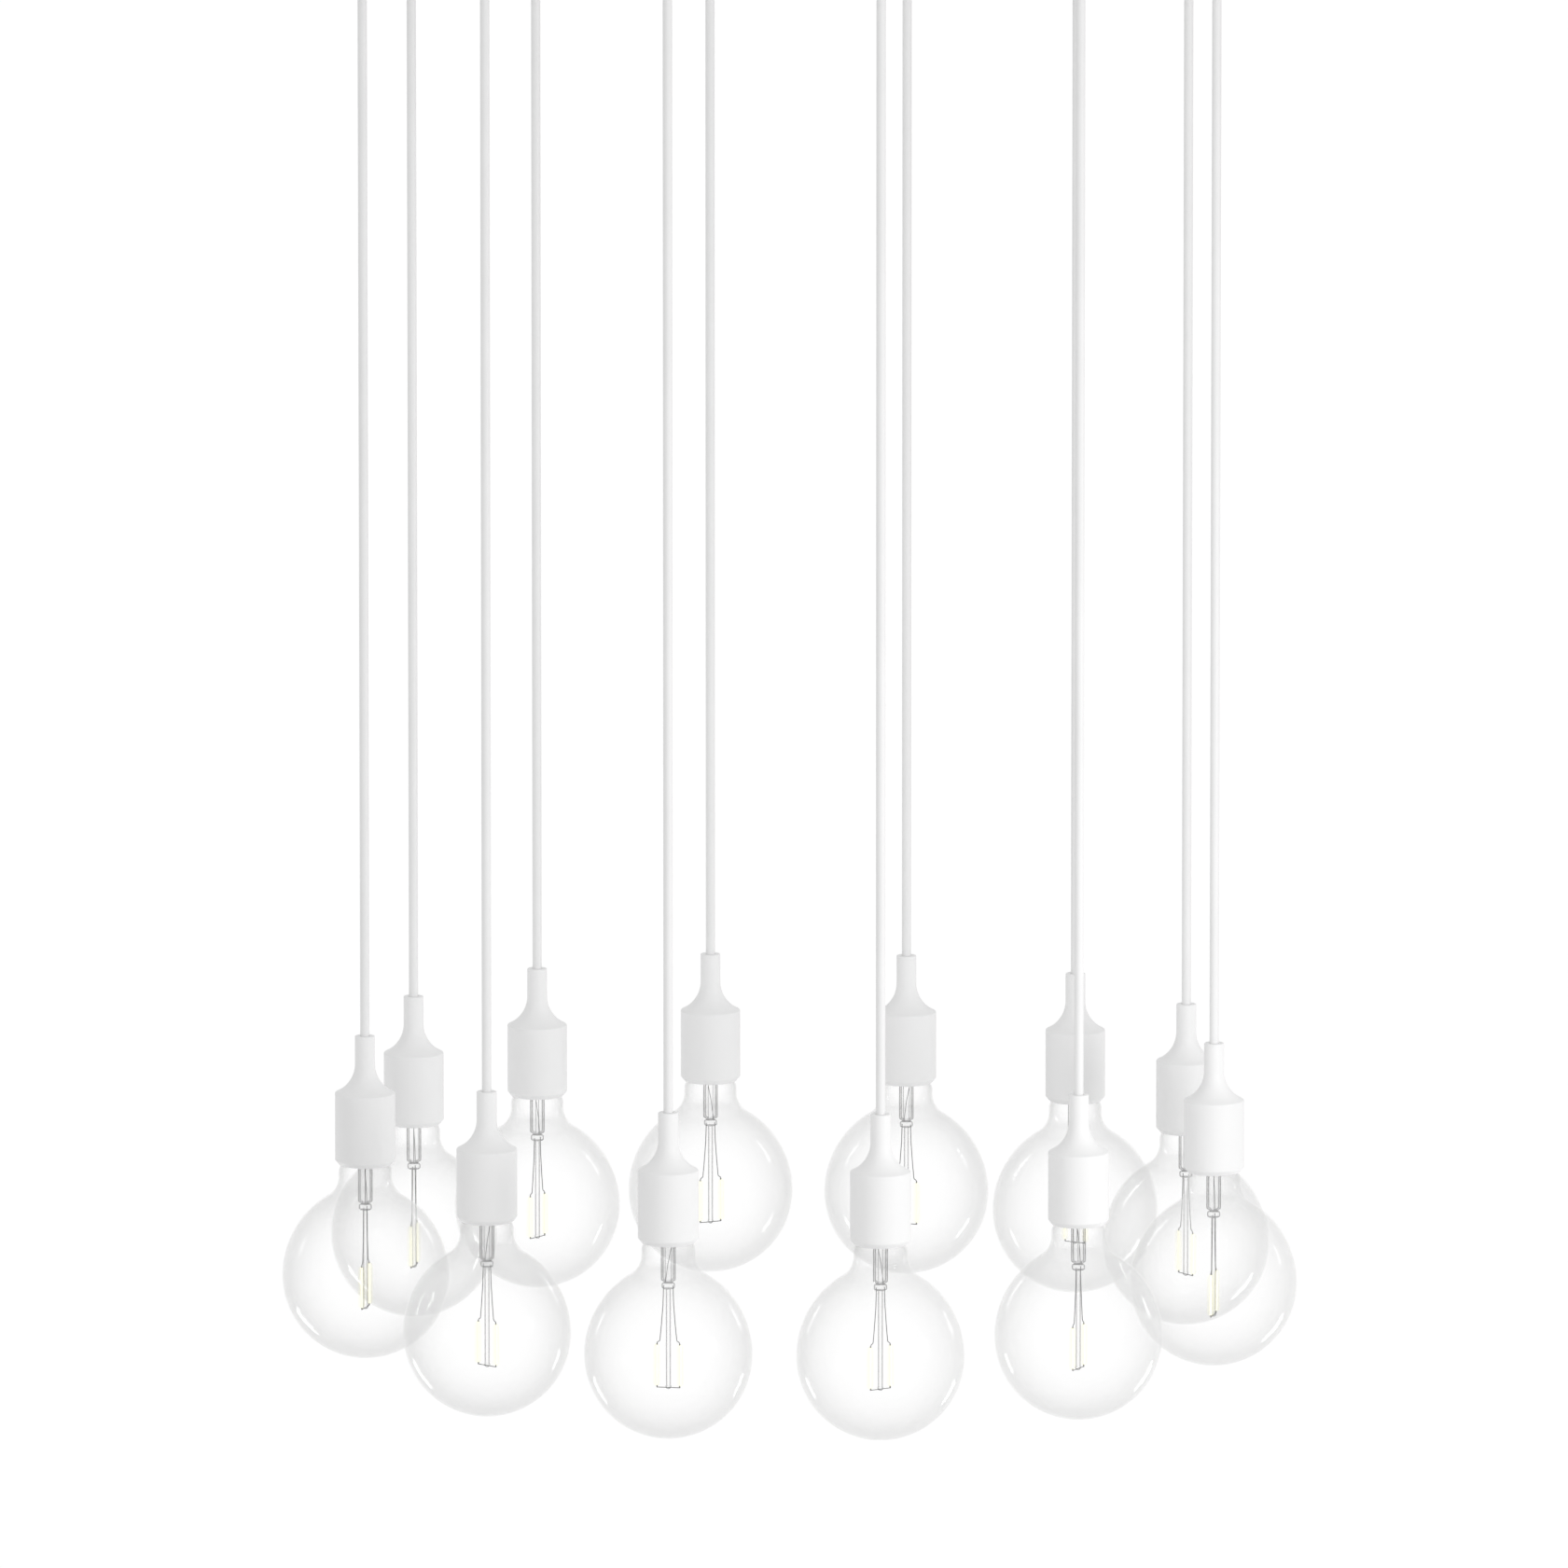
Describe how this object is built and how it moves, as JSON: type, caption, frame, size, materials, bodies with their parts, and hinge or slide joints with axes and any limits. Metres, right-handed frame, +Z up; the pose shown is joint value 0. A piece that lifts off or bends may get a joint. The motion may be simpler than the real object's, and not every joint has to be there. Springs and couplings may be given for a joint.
{
  "type": "cluster pendant",
  "caption": "Ring of white cord pendants with moulded screw lampholders and clear globe filament bulbs, hung from one shallow round ceiling canopy.",
  "frame": {"origin": "centre of the ceiling face, where the mounting bracket's top lies against the ceiling", "axes": "+Z up into the ceiling, the front of the ring towards -Y, +X to the right seen from the front"},
  "size_m": [0.7584, 0.7483, 1.1637],
  "materials": {
    "canopy": "satin white powder coat",
    "bracket": "zinc plated",
    "screws": "zinc plated",
    "grips": "fine satin",
    "nuts": "satin",
    "cord": "soft satin sheath",
    "box": "satin",
    "terminal": "satin",
    "brass": "plain",
    "grommet": "matt",
    "sleeve": "soft moulded matt",
    "glass": "clear, smooth"
  },
  "bodies": {
    "ceiling": {"ceiling_canopy": "canopy", "mounting_bracket": "bracket", "canopy_screws": "screws", "cord_grips": "grips", "grip_nuts": "nuts", "inner_leads": "cord", "junction_box": "box", "junction_cover": "box", "box_screws": "screws", "terminal_block": "terminal", "terminal_screws": "brass", "inlet_grommet": "grommet"},
    "pendant_01": {"cord_01": "cord", "lampholder_01": "sleeve"},
    "thread_01": {"bulb_tip_01": "brass"},
    "bulb_01": {"bulb_01": "glass"},
    "pendant_02": {"cord_02": "cord", "lampholder_02": "sleeve"},
    "thread_02": {"bulb_tip_02": "brass"},
    "bulb_02": {"bulb_02": "glass"},
    "pendant_03": {"cord_03": "cord", "lampholder_03": "sleeve"},
    "thread_03": {"bulb_tip_03": "brass"},
    "bulb_03": {"bulb_03": "glass"},
    "pendant_04": {"cord_04": "cord", "lampholder_04": "sleeve"},
    "thread_04": {"bulb_tip_04": "brass"},
    "bulb_04": {"bulb_04": "glass"},
    "pendant_05": {"cord_05": "cord", "lampholder_05": "sleeve"},
    "thread_05": {"bulb_tip_05": "brass"},
    "bulb_05": {"bulb_05": "glass"},
    "pendant_06": {"cord_06": "cord", "lampholder_06": "sleeve"},
    "thread_06": {"bulb_tip_06": "brass"},
    "bulb_06": {"bulb_06": "glass"},
    "pendant_07": {"cord_07": "cord", "lampholder_07": "sleeve"},
    "thread_07": {"bulb_tip_07": "brass"},
    "bulb_07": {"bulb_07": "glass"},
    "pendant_08": {"cord_08": "cord", "lampholder_08": "sleeve"},
    "thread_08": {"bulb_tip_08": "brass"},
    "bulb_08": {"bulb_08": "glass"},
    "pendant_09": {"cord_09": "cord", "lampholder_09": "sleeve"},
    "thread_09": {"bulb_tip_09": "brass"},
    "bulb_09": {"bulb_09": "glass"},
    "pendant_10": {"cord_10": "cord", "lampholder_10": "sleeve"},
    "thread_10": {"bulb_tip_10": "brass"},
    "bulb_10": {"bulb_10": "glass"},
    "pendant_11": {"cord_11": "cord", "lampholder_11": "sleeve"},
    "thread_11": {"bulb_tip_11": "brass"},
    "bulb_11": {"bulb_11": "glass"},
    "pendant_12": {"cord_12": "cord", "lampholder_12": "sleeve"},
    "thread_12": {"bulb_tip_12": "brass"},
    "bulb_12": {"bulb_12": "glass"}
  },
  "joints": [
    {"name": "swing_01", "type": "hinge", "parent": "ceiling", "child": "pendant_01", "pos_m": [0.06612, -0.31105, -0.047], "axis": [-0.9781, -0.2079, 0], "range_deg": [-1.5, 20]},
    {"name": "bulb_travel_01", "type": "slide", "parent": "pendant_01", "child": "thread_01", "axis": [0, 0, 1], "range_m": [-0.01997, 0]},
    {"name": "bulb_turn_01", "type": "hinge", "parent": "thread_01", "child": "bulb_01", "pos_m": [0.06612, -0.31105, -0.999], "axis": [0, 0, 1], "range_deg": [-1980, 0]},
    {"name": "swing_02", "type": "hinge", "parent": "ceiling", "child": "pendant_02", "pos_m": [0.21278, -0.23632, -0.047], "axis": [-0.7431, -0.6691, 0], "range_deg": [-1.5, 20]},
    {"name": "bulb_travel_02", "type": "slide", "parent": "pendant_02", "child": "thread_02", "axis": [0, 0, 1], "range_m": [-0.01997, 0]},
    {"name": "bulb_turn_02", "type": "hinge", "parent": "thread_02", "child": "bulb_02", "pos_m": [0.21278, -0.23632, -0.999], "axis": [0, 0, 1], "range_deg": [-1980, 0]},
    {"name": "swing_03", "type": "hinge", "parent": "ceiling", "child": "pendant_03", "pos_m": [0.31563, -0.03875, -0.047], "axis": [-0.1219, -0.9925, 0], "range_deg": [-1.5, 20]},
    {"name": "bulb_travel_03", "type": "slide", "parent": "pendant_03", "child": "thread_03", "axis": [0, 0, 1], "range_m": [-0.01997, 0]},
    {"name": "bulb_turn_03", "type": "hinge", "parent": "thread_03", "child": "bulb_03", "pos_m": [0.31563, -0.03875, -0.999], "axis": [0, 0, 1], "range_deg": [-1980, 0]},
    {"name": "swing_04", "type": "hinge", "parent": "ceiling", "child": "pendant_04", "pos_m": [0.29688, 0.11396, -0.047], "axis": [0.3584, -0.9336, 0], "range_deg": [-1.5, 20]},
    {"name": "bulb_travel_04", "type": "slide", "parent": "pendant_04", "child": "thread_04", "axis": [0, 0, 1], "range_m": [-0.01997, 0]},
    {"name": "bulb_turn_04", "type": "hinge", "parent": "thread_04", "child": "bulb_04", "pos_m": [0.29688, 0.11396, -0.999], "axis": [0, 0, 1], "range_deg": [-1980, 0]},
    {"name": "swing_05", "type": "hinge", "parent": "ceiling", "child": "pendant_05", "pos_m": [0.21484, 0.23445, -0.047], "axis": [0.7373, -0.6756, 0], "range_deg": [-1.5, 20]},
    {"name": "bulb_travel_05", "type": "slide", "parent": "pendant_05", "child": "thread_05", "axis": [0, 0, 1], "range_m": [-0.01997, 0]},
    {"name": "bulb_turn_05", "type": "hinge", "parent": "thread_05", "child": "bulb_05", "pos_m": [0.21484, 0.23445, -0.999], "axis": [0, 0, 1], "range_deg": [-1980, 0]},
    {"name": "swing_06", "type": "hinge", "parent": "ceiling", "child": "pendant_06", "pos_m": [0.08765, 0.30568, -0.047], "axis": [0.9613, -0.2756, 0], "range_deg": [-1.5, 20]},
    {"name": "bulb_travel_06", "type": "slide", "parent": "pendant_06", "child": "thread_06", "axis": [0, 0, 1], "range_m": [-0.01997, 0]},
    {"name": "bulb_turn_06", "type": "hinge", "parent": "thread_06", "child": "bulb_06", "pos_m": [0.08765, 0.30568, -0.999], "axis": [0, 0, 1], "range_deg": [-1980, 0]},
    {"name": "swing_07", "type": "hinge", "parent": "ceiling", "child": "pendant_07", "pos_m": [-0.06068, 0.31216, -0.047], "axis": [0.9816, 0.1908, 0], "range_deg": [-1.5, 20]},
    {"name": "bulb_travel_07", "type": "slide", "parent": "pendant_07", "child": "thread_07", "axis": [0, 0, 1], "range_m": [-0.01997, 0]},
    {"name": "bulb_turn_07", "type": "hinge", "parent": "thread_07", "child": "bulb_07", "pos_m": [-0.06068, 0.31216, -0.999], "axis": [0, 0, 1], "range_deg": [-1980, 0]},
    {"name": "swing_08", "type": "hinge", "parent": "ceiling", "child": "pendant_08", "pos_m": [-0.19138, 0.25397, -0.047], "axis": [0.7986, 0.6018, 0], "range_deg": [-1.5, 20]},
    {"name": "bulb_travel_08", "type": "slide", "parent": "pendant_08", "child": "thread_08", "axis": [0, 0, 1], "range_m": [-0.01997, 0]},
    {"name": "bulb_turn_08", "type": "hinge", "parent": "thread_08", "child": "bulb_08", "pos_m": [-0.19138, 0.25397, -0.999], "axis": [0, 0, 1], "range_deg": [-1980, 0]},
    {"name": "swing_09", "type": "hinge", "parent": "ceiling", "child": "pendant_09", "pos_m": [-0.28334, 0.14437, -0.047], "axis": [0.454, 0.891, 0], "range_deg": [-1.5, 20]},
    {"name": "bulb_travel_09", "type": "slide", "parent": "pendant_09", "child": "thread_09", "axis": [0, 0, 1], "range_m": [-0.01997, 0]},
    {"name": "bulb_turn_09", "type": "hinge", "parent": "thread_09", "child": "bulb_09", "pos_m": [-0.28334, 0.14437, -0.999], "axis": [0, 0, 1], "range_deg": [-1980, 0]},
    {"name": "swing_10", "type": "hinge", "parent": "ceiling", "child": "pendant_10", "pos_m": [-0.31781, -0.0111, -0.047], "axis": [-0.0349, 0.9994, 0], "range_deg": [-1.5, 20]},
    {"name": "bulb_travel_10", "type": "slide", "parent": "pendant_10", "child": "thread_10", "axis": [0, 0, 1], "range_m": [-0.01997, 0]},
    {"name": "bulb_turn_10", "type": "hinge", "parent": "thread_10", "child": "bulb_10", "pos_m": [-0.31781, -0.0111, -0.999], "axis": [0, 0, 1], "range_deg": [-1980, 0]},
    {"name": "swing_11", "type": "hinge", "parent": "ceiling", "child": "pendant_11", "pos_m": [-0.22486, -0.22486, -0.047], "axis": [-0.7071, 0.7071, 0], "range_deg": [-1.5, 20]},
    {"name": "bulb_travel_11", "type": "slide", "parent": "pendant_11", "child": "thread_11", "axis": [0, 0, 1], "range_m": [-0.01997, 0]},
    {"name": "bulb_turn_11", "type": "hinge", "parent": "thread_11", "child": "bulb_11", "pos_m": [-0.22486, -0.22486, -0.999], "axis": [0, 0, 1], "range_deg": [-1980, 0]},
    {"name": "swing_12", "type": "hinge", "parent": "ceiling", "child": "pendant_12", "pos_m": [-0.09032, -0.3049, -0.047], "axis": [-0.9588, 0.284, 0], "range_deg": [-1.5, 20]},
    {"name": "bulb_travel_12", "type": "slide", "parent": "pendant_12", "child": "thread_12", "axis": [0, 0, 1], "range_m": [-0.01997, 0]},
    {"name": "bulb_turn_12", "type": "hinge", "parent": "thread_12", "child": "bulb_12", "pos_m": [-0.09032, -0.3049, -0.999], "axis": [0, 0, 1], "range_deg": [-1980, 0]}
  ],
  "couplings": [
    {"joint": "bulb_travel_01", "follows": "bulb_turn_01", "m_per_rad": 0.0005775},
    {"joint": "bulb_travel_02", "follows": "bulb_turn_02", "m_per_rad": 0.0005775},
    {"joint": "bulb_travel_03", "follows": "bulb_turn_03", "m_per_rad": 0.0005775},
    {"joint": "bulb_travel_04", "follows": "bulb_turn_04", "m_per_rad": 0.0005775},
    {"joint": "bulb_travel_05", "follows": "bulb_turn_05", "m_per_rad": 0.0005775},
    {"joint": "bulb_travel_06", "follows": "bulb_turn_06", "m_per_rad": 0.0005775},
    {"joint": "bulb_travel_07", "follows": "bulb_turn_07", "m_per_rad": 0.0005775},
    {"joint": "bulb_travel_08", "follows": "bulb_turn_08", "m_per_rad": 0.0005775},
    {"joint": "bulb_travel_09", "follows": "bulb_turn_09", "m_per_rad": 0.0005775},
    {"joint": "bulb_travel_10", "follows": "bulb_turn_10", "m_per_rad": 0.0005775},
    {"joint": "bulb_travel_11", "follows": "bulb_turn_11", "m_per_rad": 0.0005775},
    {"joint": "bulb_travel_12", "follows": "bulb_turn_12", "m_per_rad": 0.0005775}
  ]
}
